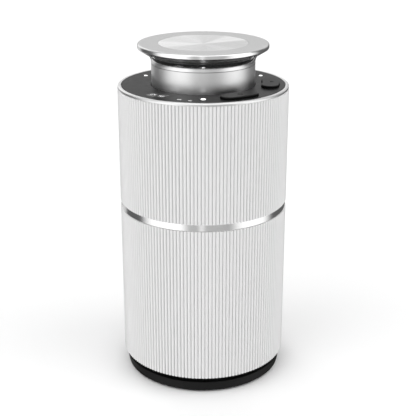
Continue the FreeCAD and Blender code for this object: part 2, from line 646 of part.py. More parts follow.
def make_button(name, azimuth):
    """Raised kidney button with a catch flange under the panel and a stem over its switch."""
    body = place(new_body(name), turn=facing(azimuth))
    flange = new_sketch(body, name + "_flange", z="dims.panel_low_z - 2.6")
    arc_slot(flange, "dims.button_mid_r", "dims.button_half_w + 0.6", "dims.button_half_deg")
    pad(body, flange, "2.3")
    key = new_sketch(body, name + "_key", z="dims.panel_low_z - 0.4")
    arc_slot(key, "dims.button_mid_r", "dims.button_half_w", "dims.button_half_deg")
    pad(body, key, "dims.button_top_z - dims.panel_low_z + 0.4")
    stem = new_sketch(body, name + "_stem", z="dims.panel_board_z + dims.board_thick + dims.dome_high")
    circle(stem, "2.2", x="dims.button_mid_r")
    solid = pad(body, stem, "2")
    doc.recompute()
    top = [f"Face{i + 1}" for i, face in enumerate(body.Shape.Faces)
           if abs(face.CenterOfMass.z - value("dims.button_top_z")) < 1e-6]
    soft = body.newObject("PartDesign::Fillet", name + "_edge")
    soft.Base = (solid, top)
    soft.Radius = 0.7


def make_dome(name, azimuth):
    """Rubber dome that returns a button, standing on the panel board."""
    body = place(new_body(name), x=polar_x("dims.button_mid_r", azimuth),
                 y=polar_y("dims.button_mid_r", azimuth), z="dims.panel_board_z + dims.board_thick")
    revolve(body, [("0", "0.8"), ("2.2", "0.8"), ("3.4", "0"), ("4.2", "0"), ("2.4", "dims.dome_high"),
                   ("0", "dims.dome_high")])


def make_lamps():
    for name, (azimuth, radius) in LAMPS.items():
        spot = {"x": polar_x("dims.lamp_place_r", azimuth), "y": polar_y("dims.lamp_place_r", azimuth)}
        part_of(cylinder("light_" + name, radius, "dims.panel_top_z - dims.panel_low_z + 4.4",
                         z="dims.panel_low_z - 4.2", **spot), "light_" + name)


def make_status_leds():
    pieces = []
    for name, (azimuth, _) in LAMPS.items():
        led = box(f"led_{name}", "2.8", "2.8", "0.9", x=polar_x("dims.lamp_place_r", azimuth),
                  y=polar_y("dims.lamp_place_r", azimuth), z="dims.panel_board_z + dims.board_thick")
        pieces.append(led)
    part_of(group("status_leds", pieces), "status_leds")


def make_indicator_lenses():
    body = new_body("indicator_lenses")
    for i, (azimuth, radius, length) in enumerate(INDICATOR_MARKS):
        lens = new_sketch(body, f"indicator{i}", z="dims.panel_low_z", turn=facing(azimuth))
        mark_sector(lens, radius, length)
        pad(body, lens, "dims.panel_top_z - dims.panel_low_z")


def make_display():
    window = place(new_body("display_window"), turn=facing("dims.display_az"))
    glass = new_sketch(window, "glass", z="dims.panel_top_z - dims.display_thick")
    sector(glass, "dims.display_in_r + 0.05", "dims.display_out_r - 0.05", "dims.display_half_deg - 0.05")
    pad(window, glass, "dims.display_thick")
    module = place(new_body("display_module"), turn=facing("dims.display_az"))
    block = new_sketch(module, "module", z="dims.panel_board_z + dims.board_thick")
    sector(block, "dims.display_in_r + 1.7", "dims.display_out_r - 1.7", "dims.display_half_deg - 1.8")
    pad(module, block, "dims.panel_top_z - dims.display_thick - dims.panel_board_z - dims.board_thick")


def make_panel_board():
    body = tube("panel_board", "59.4", "44", "dims.panel_board_z", "dims.panel_board_z + dims.board_thick")
    for i, (radius, azimuth) in enumerate(PANEL_SCREW_SPOTS):
        hole = new_sketch(body, f"board_hole{i}", z="dims.panel_board_z + 2", turn=facing(azimuth))
        circle(hole, "1.2", x=radius)
        pocket(body, hole, "2.1")
    screws("panel_screws", PANEL_SCREW_SPOTS, ("dims.panel_board_z - 1.4", "dims.panel_board_z"),
           ("dims.panel_board_z - 0.5", "dims.panel_board_z + 6"), "2.2", "1.2")


# ---- neck and dial -------------------------------------------------------------------------------

def make_neck():
    tube("neck_sleeve", "dims.neck_r", "dims.neck_r - dims.neck_wall", "dims.neck_low_z", "dims.seam_z")
    wall = "dims.neck_r - dims.neck_wall"
    revolve(new_body("neck_core"), [
        (f"{wall} - 2", "dims.neck_low_z"), (wall, "dims.neck_low_z"), (wall, "dims.core_top_z"),
        ("dims.bush_r", "dims.core_top_z"), ("dims.bush_r", "dims.encoder_top_z"),
        ("dims.encoder_r", "dims.encoder_top_z"), ("dims.encoder_r", "dims.core_top_z - 2.5"),
        (f"{wall} - 2", "dims.core_top_z - 2.5"),
    ])
    pieces = []
    for i, low in enumerate(("dims.encoder_top_z + 0.5", "dims.core_top_z - 4.4")):
        outer = cylinder(f"bush_outer{i}", "dims.bush_r", "4", z=low)
        bore = cylinder(f"bush_bore{i}", "dims.shaft_r + dims.run_gap", "4", z=low)
        pieces.append(cut(f"bush{i}", outer, bore))
    part_of(group("dial_bushes", pieces), "dial_bushes")
    revolve(new_body("dial_encoder"), [
        ("dims.shaft_r + 0.3", "dims.encoder_low_z"), ("dims.encoder_r", "dims.encoder_low_z"),
        ("dims.encoder_r", "dims.encoder_top_z"), ("dims.shaft_r + 0.3", "dims.encoder_top_z"),
    ])


def make_head_cap():
    """Flared dial: skirt above the seam, hollow flare, round lip and the flat ring round the dish."""
    skirt_in = "dims.neck_r - dims.neck_wall"
    skirt_low = "dims.seam_z + dims.seam_gap"
    revolve(new_body("head_cap"), [
        (skirt_in, skirt_low), ("dims.neck_r", skirt_low),
        ("dims.neck_r", "dims.lip_low_z - 6.3", "dims.flare_fillet"),
        ("dims.disc_r", "dims.lip_low_z", "1.1"), ("dims.disc_r", "dims.disc_top_z", "1.5"),
        ("dims.dish_r + 0.05", "dims.disc_top_z", "0.2"), ("dims.dish_r + 0.05", "dims.dish_seat_z"),
        ("dims.dish_r - 2.4", "dims.dish_seat_z"), ("dims.dish_r - 2.4", "dims.hub_top_z"),
        ("44", "dims.hub_top_z"), (skirt_in, "dims.hub_top_z - 5"),
    ])


def make_top_dish():
    """Spun dish: a shallow cone set below the flat ring."""
    under = "dims.disc_top_z - dims.dish_deep - 1"
    revolve(new_body("top_dish"), [
        ("0", under), ("dims.dish_r - 2.5", under),
        ("dims.dish_r - 2.5", "dims.dish_seat_z"), ("dims.dish_r", "dims.dish_seat_z"),
        ("dims.dish_r", "dims.disc_top_z - 0.2"), ("0", "dims.disc_top_z - dims.dish_deep"),
    ])


def make_dial_hub():
    """Web under the dish that holds the cap on the dial shaft."""
    web = "dims.hub_top_z - dims.hub_thick"
    revolve(new_body("dial_hub"), [
        ("dims.shaft_r", "dims.seam_z"), ("dims.shaft_r + 4", "dims.seam_z"), ("dims.shaft_r + 4", web),
        ("dims.hub_r - 2.4", web), ("dims.hub_r", "dims.hub_top_z - 2"), ("dims.hub_r", "dims.hub_top_z"),
        ("dims.shaft_r", "dims.hub_top_z"),
    ])


def make_dial_shaft():
    """Shaft of the dial, tapped at the top for its screw."""
    body = new_body("dial_shaft")
    low, high = "dims.encoder_low_z + 1", "dims.hub_top_z"
    revolve(body, [("0", low), ("dims.shaft_r", low), ("dims.shaft_r", high), ("0", high)])
    tapped = new_sketch(body, "tapped_hole", z="dims.hub_top_z")
    circle(tapped, "1.2")
    pocket(body, tapped, "9")
    screws("dial_screw", [("0", "0")], ("dims.hub_top_z", "dims.hub_top_z + 0.9"),
           ("dims.hub_top_z - 8", "dims.hub_top_z + 0.5"), "5.5", "1.2")


# ---- air path and fan ----------------------------------------------------------------------------

def make_outlet_duct():
    """Cone from the fan housing to the channel round the neck, with a shelf for the main board."""
    wall = "dims.duct_wall"
    revolve(new_body("outlet_duct"), [
        ("dims.fan_bore_r", "dims.fan_top_z"), ("dims.fan_wall_r", "dims.fan_top_z"),
        ("dims.fan_wall_r", "dims.fan_top_z + 6.6"), ("dims.shelf_r - 6.6", "dims.shelf_top_z - 1.9"),
        ("dims.shelf_r", "dims.shelf_top_z - 1.9"), ("dims.shelf_r", "dims.shelf_top_z"),
        ("dims.shelf_r - 8", "dims.shelf_top_z"), (f"dims.outlet_r + {wall}", "dims.shelf_top_z + 8.7"),
        (f"dims.outlet_r + {wall}", "dims.duct_top_z"), ("dims.outlet_r", "dims.duct_top_z"),
        ("dims.outlet_r", "dims.shelf_top_z + 7.9"), ("dims.fan_bore_r", "dims.fan_top_z + 5.7"),
    ])


def make_fan_housing():
    """Floor with the bellmouth inlet, outer flange in the shell, and the wall round the impeller."""
    body = new_body("fan_housing")
    floor_top = "dims.fan_floor_z + 2"
    revolve(body, [
        ("dims.inlet_r", "dims.fan_floor_z"), ("dims.sleeve_r", "dims.fan_floor_z"),
        ("dims.sleeve_r", "dims.fan_floor_z + 5"), ("dims.fan_wall_r", "dims.fan_floor_z + 5"),
        ("dims.fan_wall_r", "dims.fan_top_z"), ("dims.fan_bore_r", "dims.fan_top_z"),
        ("dims.fan_bore_r", floor_top, "3"), ("dims.inlet_r + 2.2", floor_top, "1.5"),
        ("dims.inlet_r + 1.4", "dims.fan_floor_z + 6"), ("dims.inlet_r", "dims.fan_floor_z + 6"),
    ])
    notch = new_sketch(body, "housing_lead_notch", z="dims.fan_floor_z + 6", turn="90")
    sector(notch, "dims.fan_wall_r", "dims.sleeve_r + 1", "1.8")
    pocket(body, notch, "7")


BLADE_OUTLINE = [
    ("29", "0"), ("31", "0"), ("40.5", "8"), ("45.6", "19.6"), ("44.2", "20.4"), ("38.8", "9.4"),
]


def make_impeller():
    """Radial impeller: back plate and boss, curved blades and a ring under them."""
    body = new_body("impeller")
    plate = "dims.fan_floor_z + dims.impeller_rise"
    revolve(body, [
        ("dims.motor_shaft_r", f"{plate} - 14"), ("6", f"{plate} - 14"), ("8", f"{plate}"),
        ("dims.impeller_r", plate), ("dims.impeller_r", f"{plate} + 1.6"), ("8", f"{plate} + 1.6"),
        ("8", f"{plate} + 3.5"), ("dims.motor_shaft_r", f"{plate} + 3.5"),
    ])
    blade_low = "dims.fan_floor_z + 9"
    blade = new_sketch(body, "blade", z=blade_low)
    outline(blade, BLADE_OUTLINE)
    pattern(body, pad(body, blade, f"{plate} - ({blade_low}) + 0.5"), "dims.blade_count")
    ring = new_sketch(body, "shroud", z=f"{blade_low} - 1.4")
    circle(ring, "dims.impeller_r")
    circle(ring, "dims.inlet_r + 3")
    pad(body, ring, "1.6")


def make_motor():
    """Motor can and lid, bearings, stator, rotor magnet and shaft."""
    low, high, radius = "dims.motor_low_z", "dims.motor_high_z", "dims.motor_r"
    revolve(new_body("motor_can"), [
        ("dims.bearing_r", low), (radius, low), (radius, high), (f"{radius} - 1.5", high),
        (f"{radius} - 1.5", f"{low} + 3"), ("dims.bearing_r", f"{low} + 3"),
    ])
    tube("motor_lid", radius, "dims.bearing_r", high, f"{high} + 2.5")
    tube("motor_stator", f"{radius} - 1.5", "10.4", f"{low} + 4.5", f"{high} - 2.5")
    tube("motor_rotor", "10", "dims.motor_shaft_r", f"{low} + 4.5", f"{high} - 2.5")
    shaft_low = "dims.fan_floor_z + 11"
    shaft = cylinder("motor_shaft", "dims.motor_shaft_r", f"{high} + 4 - ({shaft_low})", z=shaft_low)
    part_of(shaft, "motor_shaft")
    pieces = []
    for i, level in enumerate((low, f"{high} - 0.5")):
        outer = cylinder(f"bearing_outer{i}", "dims.bearing_r", "3", z=level)
        bore = cylinder(f"bearing_bore{i}", "dims.motor_shaft_r + dims.run_gap", "3", z=level)
        pieces.append(cut(f"bearing{i}", outer, bore))
    part_of(group("motor_bearings", pieces), "motor_bearings")


def make_motor_mount():
    """Cup that holds the motor and carries the neck, with guide vanes out to the duct."""
    body = new_body("motor_mount")
    low = "dims.motor_low_z"
    cup = "dims.neck_r - dims.neck_wall"
    revolve(body, [
        ("6.5", f"{low} - 2"), (cup, f"{low} - 2"), (cup, "dims.neck_low_z"),
        (f"{cup} - 2", "dims.neck_low_z"), (f"{cup} - 2", low), ("6.5", low),
    ])
    vane = new_sketch(body, "vane", z=f"{low} + 0.5")
    outline(vane, [(f"{cup} - 0.5", "0"), ("dims.fan_bore_r - 0.3", "3"), ("dims.fan_bore_r - 0.3", "4.4"),
                   (f"{cup} - 0.5", "1.6")])
    pattern(body, pad(body, vane, "4.6"), "dims.vane_count")
    spots = [("11", azimuth) for azimuth in ("0", "120", "-120")]
    for i, (radius, azimuth) in enumerate(spots):
        hole = new_sketch(body, f"motor_hole{i}", z=f"{low} + 0.1", turn=facing(azimuth))
        circle(hole, "1.2", x=radius)
        pocket(body, hole, "2.2")
    can = nodes["motor_can"]
    for i, (radius, azimuth) in enumerate(spots):
        hole = new_sketch(can, f"can_hole{i}", z=f"{low} + 3.1", turn=facing(azimuth))
        circle(hole, "1.2", x=radius)
        pocket(can, hole, "3.2")
    head, shank = (f"{low} - 3.2", f"{low} - 2"), (f"{low} - 2.5", f"{low} + 2.9")
    screws("motor_screws", spots, head, shank, "2", "1.2")


# ---- filter --------------------------------------------------------------------------------------

def make_filter():
    """Filter cartridge: pleated media on a carbon sleeve between two caps, mesh outside, seal on top."""
    low = "dims.filter_low_z + dims.filter_cap"
    high = "dims.filter_top_z - dims.filter_cap"
    tube("carbon_sleeve", "dims.carbon_r", "dims.carbon_r - 2", low, high)
    tube("filter_mesh", "dims.filter_r", "dims.filter_r - 0.6", low, high)
    tube("filter_top_cap", "dims.filter_r", "dims.inlet_r", high, "dims.filter_top_z")
    tube("filter_gasket", "dims.filter_r - 2", "dims.inlet_r + 1", "dims.filter_top_z", "dims.fan_floor_z")
    lid = cylinder("filter_bottom_cap", "dims.filter_r", "dims.filter_cap", z="dims.filter_low_z")
    part_of(lid, "filter_bottom_cap")
    part_of(box("pull_tab", "34", "11", "0.8", z="dims.filter_low_z - 0.8"), "pull_tab")
    make_pleats(value(low), value(high))


def make_pleats(low, high):
    """Star-shaped sheet of even thickness folded round the sleeve."""
    count = int(value("dims.pleat_count"))
    outer, inner = value("dims.filter_r") - 0.7, value("dims.carbon_r") + 0.1
    rings = []
    for shift in (0, 1.4):
        points = []
        for i in range(count):
            for radius, step in ((outer - shift * 0.6, 0), (inner + 1.4 - shift, 0.5)):
                angle = 2 * math.pi * (i + step) / count
                points.append(Vector(radius * math.cos(angle), radius * math.sin(angle), low))
        rings.append(Part.makePolygon(points + points[:1]))
    sheet = Part.Face(rings[0]).cut(Part.Face(rings[1]))
    item = doc.addObject("Part::Feature", "filter_media")
    item.Shape = sheet.Faces[0].extrude(Vector(0, 0, high - low))
    part_of(item, "filter_media")


# ---- electronics and power -----------------------------------------------------------------------

def make_main_board():
    top = "dims.shelf_top_z + dims.board_thick"
    tube("main_board", "dims.fan_wall_r", "51.2", "dims.shelf_top_z", top)
    pieces = []
    for i in range(4):
        azimuth = f"{20 * i} + 60"
        pieces.append(cylinder(f"capacitor{i}", "2.8", "8", x=polar_x("55.4", azimuth),
                               y=polar_y("55.4", azimuth), z=top))
    for i in range(3):
        azimuth = f"{24 * i} - 130"
        pieces.append(box(f"chip{i}", "6", "6", "1.4", x=polar_x("55.2", azimuth),
                          y=polar_y("55.2", azimuth), z=top))
    part_of(group("board_components", pieces), "board_components")


def make_air_sensor():
    """Particle sensor standing in the intake air beside the filter."""
    body = place(new_body("air_sensor"), turn=facing("-135"))
    block = new_sketch(body, "sensor_block", z="30")
    outline(block, [("48", "-9"), ("57", "-9"), ("57", "9"), ("48", "9")])
    pad(body, block, "26")


def make_power_inlet():
    """Bezel in the shell, metal connector shell with its tongue, and their small board."""
    bezel = new_body("inlet_bezel")
    face = new_sketch(bezel, "bezel_face", "XZ_Plane", z="-dims.body_r - 0.2")
    rounded_slot(face, "6.9", "4.1")
    pad(bezel, face, "4.6")
    mouth = new_sketch(bezel, "bezel_mouth", "XZ_Plane", z="6 - dims.body_r")
    rounded_slot(mouth, "4.5", "1.65")
    pocket(bezel, mouth, "7")
    shell = new_body("power_socket")
    outer = new_sketch(shell, "socket_shell", "XZ_Plane", z="-dims.body_r + 0.2")
    rounded_slot(outer, "4.45", "1.6")
    pad(shell, outer, "7.2")
    inner = new_sketch(shell, "socket_mouth", "XZ_Plane", z="6.4 - dims.body_r")
    rounded_slot(inner, "4.15", "1.3")
    pocket(shell, inner, "7")
    tongue = new_sketch(shell, "socket_tongue", "XZ_Plane", z="-dims.body_r + 1.4")
    outline(tongue, [("-3.3", "dims.socket_z - 0.35"), ("3.3", "dims.socket_z - 0.35"),
                     ("3.3", "dims.socket_z + 0.35"), ("-3.3", "dims.socket_z + 0.35")])
    pad(shell, tongue, "5.6")
    board = box("inlet_board", "18", "dims.board_thick", "17",
                y="dims.inlet_board_y", z="dims.socket_z - 10")
    part_of(board, "inlet_board")


def make_supply_lead():
    """Lead from the inlet board up the back of the casing to the main board."""
    radius, run = value("dims.lead_r"), value("dims.lead_place_r")
    board_y, socket_z = value("dims.inlet_board_y"), value("dims.socket_z")
    low = Vector(0, board_y, socket_z + 7)
    points = [low, Vector(0, board_y, socket_z + 14), Vector(0, run, socket_z + 23),
              Vector(0, run, value("dims.shelf_top_z"))]
    edges, start = [], low
    for before, corner, after in zip(points, points[1:], points[2:]):
        into, middle, away = corner_cut(before, corner, after, 9)
        edges.append(Part.LineSegment(start, into).toShape())
        edges.append(Part.Arc(into, middle, away).toShape())
        start = away
    edges.append(Part.LineSegment(start, points[-1]).toShape())
    section = Part.Wire(Part.makeCircle(radius, low, Vector(0, 0, 1)))
    item = doc.addObject("Part::Feature", "supply_lead")
    item.Shape = Part.Wire(edges).makePipeShell([section], True, False)
    part_of(item, "supply_lead")


# ---- build and write -----------------------------------------------------------------------------

def build():
    make_feet()
    make_base_cover()
    make_base_ring()
    make_lower_shell()
    make_belt_ring()
    fluted_shell("upper_shell", "dims.belt_high_z", "dims.rim_low_z")
    make_rim_ring()
    make_control_panel()
    for name, azimuth in BUTTON_AZIMUTHS.items():
        make_button(name + "_button", azimuth)
        make_dome(name + "_dome", azimuth)
    make_lamps()
    make_status_leds()
    make_indicator_lenses()
    make_display()
    make_panel_board()
    make_neck()
    make_head_cap()
    make_top_dish()
    make_dial_hub()
    make_dial_shaft()
    make_outlet_duct()
    make_fan_housing()
    make_impeller()
    make_motor()
    make_motor_mount()
    make_filter()
    make_main_board()
    make_air_sensor()
    make_power_inlet()
    make_supply_lead()


def check_and_write():
    doc.recompute()
    for item in doc.Objects:
        if "Invalid" in item.State or "Error" in item.State:
            raise ValueError(f"{item.Label} failed: {item.State}")
    for label, item in nodes.items():
        if item.Shape.isNull() or not item.Shape.isValid():
            raise ValueError(f"{label} has a bad shape")
    os.makedirs("parts", exist_ok=True)
    for label, item in nodes.items():
        item.Shape.exportStep(f"parts/{label}.step")
    print(len(nodes), "nodes written")


build()
check_and_write()
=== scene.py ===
import json
import math

import bmesh
import bpy
from mathutils import Matrix, Vector


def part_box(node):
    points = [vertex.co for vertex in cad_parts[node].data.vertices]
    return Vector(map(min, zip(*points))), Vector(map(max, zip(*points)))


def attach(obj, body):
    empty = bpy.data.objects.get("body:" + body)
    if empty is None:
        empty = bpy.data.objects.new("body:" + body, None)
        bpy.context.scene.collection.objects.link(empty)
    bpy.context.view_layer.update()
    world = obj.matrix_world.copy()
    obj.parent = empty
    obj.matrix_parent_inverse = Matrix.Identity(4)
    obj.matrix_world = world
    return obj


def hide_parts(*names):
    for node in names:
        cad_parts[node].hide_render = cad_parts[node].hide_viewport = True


# Air purifier, in metres, in the CAD frame. Every CAD node gets its material here. The pieces made
# on top of them are the display's digits, the indicator bars, the button icons, the grooved rubber
# feet, the marks under the twist-off cover and the inlet's contacts.

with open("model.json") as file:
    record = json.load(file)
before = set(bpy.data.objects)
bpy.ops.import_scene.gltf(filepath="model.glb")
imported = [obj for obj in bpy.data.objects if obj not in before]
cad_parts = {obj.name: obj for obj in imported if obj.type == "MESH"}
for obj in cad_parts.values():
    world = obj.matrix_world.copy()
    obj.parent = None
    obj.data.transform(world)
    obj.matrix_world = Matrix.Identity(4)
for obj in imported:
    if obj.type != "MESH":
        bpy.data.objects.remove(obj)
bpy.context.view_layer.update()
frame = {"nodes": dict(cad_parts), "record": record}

NODES = frame["nodes"]
SLOT_OF = {item["node"]: item["material_slot"] for item in frame["record"]["subparts"]}
MM = 0.001


# ---- node graph helpers --------------------------------------------------------------------------

def grey(level):
    return (level, level, level)


class Graph:
    """A material's node tree with one Principled shader and short ways to add nodes."""

    def __init__(self, name):
        self.material = bpy.data.materials.new(name)
        self.material.use_nodes = True
        self.tree = self.material.node_tree
        self.shader = self.tree.nodes["Principled BSDF"]

    def add(self, kind, **settings):
        node = self.tree.nodes.new(kind)
        for key, setting in settings.items():
            setattr(node, key, setting)
        return node

    def link(self, source, target):
        self.tree.links.new(source, target)

    def set(self, **values):
        for key, setting in values.items():
            self.shader.inputs[key.replace("_", " ")].default_value = setting

    def to(self, source, socket):
        self.link(source, self.shader.inputs[socket])

    def position(self):
        return self.add("ShaderNodeTexCoord").outputs["Object"]

    def stretched(self, scale):
        """Object coordinates scaled by a triple."""
        mapping = self.add("ShaderNodeMapping")
        mapping.inputs["Scale"].default_value = scale
        self.link(self.position(), mapping.inputs["Vector"])
        return mapping.outputs["Vector"]

    def split(self, vector):
        node = self.add("ShaderNodeSeparateXYZ")
        self.link(vector, node.inputs["Vector"])
        return node.outputs

    def flattened(self, vector):
        """Horizontal part of a vector."""
        node = self.add("ShaderNodeVectorMath", operation="MULTIPLY")
        node.inputs[1].default_value = (1, 1, 0)
        self.link(vector, node.inputs[0])
        return node.outputs["Vector"]

    def heading(self, vector):
        """Horizontal part of a vector, at unit length."""
        node = self.add("ShaderNodeVectorMath", operation="NORMALIZE")
        self.link(self.flattened(vector), node.inputs[0])
        return node.outputs["Vector"]

    def radius(self):
        """Distance from the object's vertical axis, in metres."""
        node = self.add("ShaderNodeVectorMath", operation="LENGTH")
        self.link(self.flattened(self.position()), node.inputs[0])
        return node.outputs["Value"]

    def height(self):
        return self.split(self.position())["Z"]

    def bearing(self, scale):
        """Coordinates that vary only with the direction from the vertical axis."""
        node = self.add("ShaderNodeVectorMath", operation="SCALE")
        node.inputs["Scale"].default_value = scale
        self.link(self.heading(self.position()), node.inputs[0])
        return node.outputs["Vector"]

    def noise(self, vector, scale=1.0, detail=3.0, roughness=0.5):
        node = self.add("ShaderNodeTexNoise")
        node.inputs["Scale"].default_value = scale
        node.inputs["Detail"].default_value = detail
        node.inputs["Roughness"].default_value = roughness
        self.link(vector, node.inputs["Vector"])
        return node.outputs["Fac"]

    def spread(self, source, low, high, from_low=0.0, from_high=1.0):
        """Value moved from one range to another, held at its ends."""
        node = self.add("ShaderNodeMapRange")
        node.inputs["From Min"].default_value = from_low
        node.inputs["From Max"].default_value = from_high
        node.inputs["To Min"].default_value = low
        node.inputs["To Max"].default_value = high
        self.link(source, node.inputs["Value"])
        return node.outputs["Result"]

    def math(self, operation, first, second):
        node = self.add("ShaderNodeMath", operation=operation)
        for index, item in enumerate((first, second)):
            if isinstance(item, (int, float)):
                node.inputs[index].default_value = item
            else:
                self.link(item, node.inputs[index])
        return node.outputs["Value"]

    def tint(self, factor, dark, light):
        """Colour between two colours."""
        node = self.add("ShaderNodeMix", data_type="RGBA")
        node.inputs["A"].default_value = (*dark, 1)
        node.inputs["B"].default_value = (*light, 1)
        self.link(factor, node.inputs["Factor"])
        return node.outputs["Result"]

    def round_tone(self, stops):
        """Grey that follows the azimuth through (azimuth in degrees, grey) stops."""
        axes = self.split(self.position())
        turn = self.math("ARCTAN2", axes["X"], self.math("MULTIPLY", axes["Y"], -1.0))
        ramp = self.add("ShaderNodeValToRGB")
        ramp.color_ramp.interpolation = "EASE"
        elements = ramp.color_ramp.elements
        for azimuth, tone in stops:
            place = 0.5 + azimuth / 360
            if place <= 0:
                stop = elements[0]
            elif place >= 1:
                stop = elements[-1]
            else:
                stop = elements.new(place)
            stop.color = (*grey(tone), 1)
        self.link(self.spread(turn, 0.0, 1.0, -math.pi, math.pi), ramp.inputs["Fac"])
        return ramp.outputs["Color"]

    def bump(self, source, distance, strength):
        node = self.add("ShaderNodeBump")
        node.inputs["Strength"].default_value = strength
        node.inputs["Distance"].default_value = distance
        self.link(source, node.inputs["Height"])
        self.to(node.outputs["Normal"], "Normal")


# ---- materials -----------------------------------------------------------------------------------

# Depths below the outer radius, in millimetres, where the painted shade in the flutes is deepest
# and where it ends.
FLUTE_VALLEY = 1.25
FLUTE_CREST = 0.15


def casing_lacquer():
    """Satin white-silver lacquer with painted shade in the valleys between the flutes."""
    g = Graph("casing_lacquer")
    g.set(Metallic=0.15, Specular_IOR_Level=0.5, Coat_Weight=0.25, Coat_Roughness=0.25)
    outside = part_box("upper_shell")[1].x
    valley, crest = outside - FLUTE_VALLEY * MM, outside - FLUTE_CREST * MM
    # Painted shade: the tone falls from each flute's crest down to its valley.
    rise = g.spread(g.radius(), 0.0, 1.0, valley, crest)
    cloud = g.spread(g.noise(g.position(), 18, 4), -0.03, 0.03)
    g.to(g.tint(g.math("ADD", rise, cloud), grey(0.645), grey(0.745)), "Base Color")
    g.to(g.spread(g.noise(g.stretched((600, 600, 60)), 1, 3), 0.30, 0.42), "Roughness")
    g.bump(g.noise(g.position(), 5200, 2), 0.00001, 0.35)
    return g.material


class Turned(Graph):
    """Turned metal: fine rings round the vertical axis in bump, roughness and tone."""

    def __init__(self, name, roughness, anisotropic, line_scale, line_depth):
        super().__init__(name)
        self.set(Metallic=1.0, Anisotropic=anisotropic)
        tangent = self.add("ShaderNodeTangent", direction_type="RADIAL", axis="Z")
        self.to(tangent.outputs["Tangent"], "Tangent")
        across = self.add("ShaderNodeCombineXYZ")
        self.link(self.math("MULTIPLY", self.radius(), line_scale), across.inputs["X"])
        self.link(self.math("MULTIPLY", self.height(), line_scale), across.inputs["Y"])
        self.lines = self.noise(across.outputs["Vector"], 1, 4, 0.65)
        self.tone = self.spread(self.lines, 0.90, 1.05)
        smear = self.spread(self.noise(self.position(), 40, 3), -0.02, 0.02)
        fine = self.spread(self.lines, roughness - 0.05, roughness + 0.05)
        self.roughness = self.math("ADD", fine, smear)
        self.bump(self.lines, line_depth, 0.5)

    def finish(self, tone, dark, light, roughness):
        self.to(self.tint(tone, grey(dark), grey(light)), "Base Color")
        self.to(roughness, "Roughness")
        return self.material


def turned_metal(name, level, roughness, anisotropic, line_scale, line_depth):
    g = Turned(name, roughness, anisotropic, line_scale, line_depth)
    return g.finish(g.tone, 0, level, g.roughness)


DIAL_ROUGHNESS = 0.26
FACE_TONE = 0.72
FLANK_SMOOTHER = -0.10
SKIRT_ROUGHER = 0.16


def dial_metal():
    """Head: brushed darker flat top, smoother lip and hollow, rougher skirt above the seam."""
    g = Turned("dial_aluminium", DIAL_ROUGHNESS, 0.35, 7000, 0.000002)
    low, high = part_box("head_cap")
    top_tone = g.spread(g.height(), 1.0, FACE_TONE, high.z - 0.8 * MM, high.z - 0.2 * MM)
    flank = g.spread(g.height(), FLANK_SMOOTHER, 0.0, high.z - 1.2 * MM, high.z - 0.3 * MM)
    skirt = g.spread(g.height(), SKIRT_ROUGHER, 0.0, low.z + 0.8 * MM, low.z + 4.0 * MM)
    roughness = g.math("ADD", g.roughness, g.math("ADD", flank, skirt))
    return g.finish(g.math("MULTIPLY", g.tone, top_tone), 0, 0.84, roughness)


DISH_LEVEL = 0.98
# Painted highlights on the dish: azimuth in degrees and grey of each spoke of reflection.
DISH_PAINTED_GLINTS = [
    (-180, 0.15), (-150, 0.5), (-112, 0.5), (-92, 1.0), (-66, 1.0), (-45, 0.65), (-10, 0.9),
    (25, 0.7), (65, 0.15), (100, 0.1), (118, 0.9), (138, 0.75), (158, 0.15), (180, 0.1),
]


def dish_metal():
    """Spun face with painted highlights: bright and dark spokes of reflection round its middle,
    over random spun streaks.
    """
    g = Turned("dish_aluminium", 0.26, 0.75, 9000, 0.000004)
    streaks = g.spread(g.noise(g.bearing(9), 1, 4, 0.6), -0.25, 0.25)
    fine = g.math("ADD", streaks, g.spread(g.lines, -0.08, 0.08))
    # Painted highlight spokes, with the random spun streaks and turning lines on top.
    tone = g.math("ADD", g.round_tone(DISH_PAINTED_GLINTS), fine)
    return g.finish(tone, DISH_LEVEL * 0.66, DISH_LEVEL, g.roughness)


def polished_metal(name, level, roughness):
    """Bright metal with faint smears along the surface."""
    g = Graph(name)
    g.set(Metallic=1.0, Base_Color=(level, level, level, 1))
    smear = g.noise(g.stretched((60, 60, 900)), 1, 4)
    g.to(g.spread(smear, roughness - 0.03, roughness + 0.06), "Roughness")
    g.bump(smear, 0.000004, 0.3)
    return g.material


def moulded_plastic(name, dark, light, roughness, grain=2600, depth=0.00002, specular=0.5):
    """Spark-eroded moulded plastic: fine grain, slight clouding of tone and gloss."""
    g = Graph(name)
    g.set(Specular_IOR_Level=specular)
    g.to(g.tint(g.noise(g.position(), 30, 4), dark, light), "Base Color")
    sheen = g.noise(g.position(), 90, 3)
    g.to(g.spread(sheen, roughness - 0.05, roughness + 0.06), "Roughness")
    g.bump(g.noise(g.position(), grain, 2), depth, 0.6)
    return g.material


def glow(name, strength):
    """Lit diffuser with slight mottling."""
    g = Graph(name)
    g.set(Base_Color=(0.9, 0.9, 0.9, 1), Roughness=0.3, Emission_Strength=strength)
    g.to(g.tint(g.noise(g.position(), 900, 2), grey(0.85), grey(1.0)), "Emission Color")
    return g.material


def tinted_window():
    """Dark tinted glass with faint smears in its gloss."""
    g = Graph("tinted_window")
    g.set(Specular_IOR_Level=0.4)
    cloud = g.noise(g.position(), 160, 2)
    g.to(g.tint(cloud, (0.004, 0.004, 0.005), (0.007, 0.007, 0.009)), "Base Color")
    g.to(g.spread(g.noise(g.position(), 220, 3), 0.10, 0.18), "Roughness")
    return g.material


def panel_plastic():
    """Semi-gloss dark panel: its tone comes mostly from what it mirrors at low angles."""
    g = Graph("panel_plastic")
    g.set(Specular_IOR_Level=0.05)
    g.to(g.tint(g.noise(g.position(), 35, 4), grey(0.012), grey(0.017)), "Base Color")
    g.to(g.spread(g.noise(g.position(), 120, 4), 0.24, 0.34), "Roughness")
    g.bump(g.noise(g.position(), 3000, 2), 0.000006, 0.4)
    return g.material


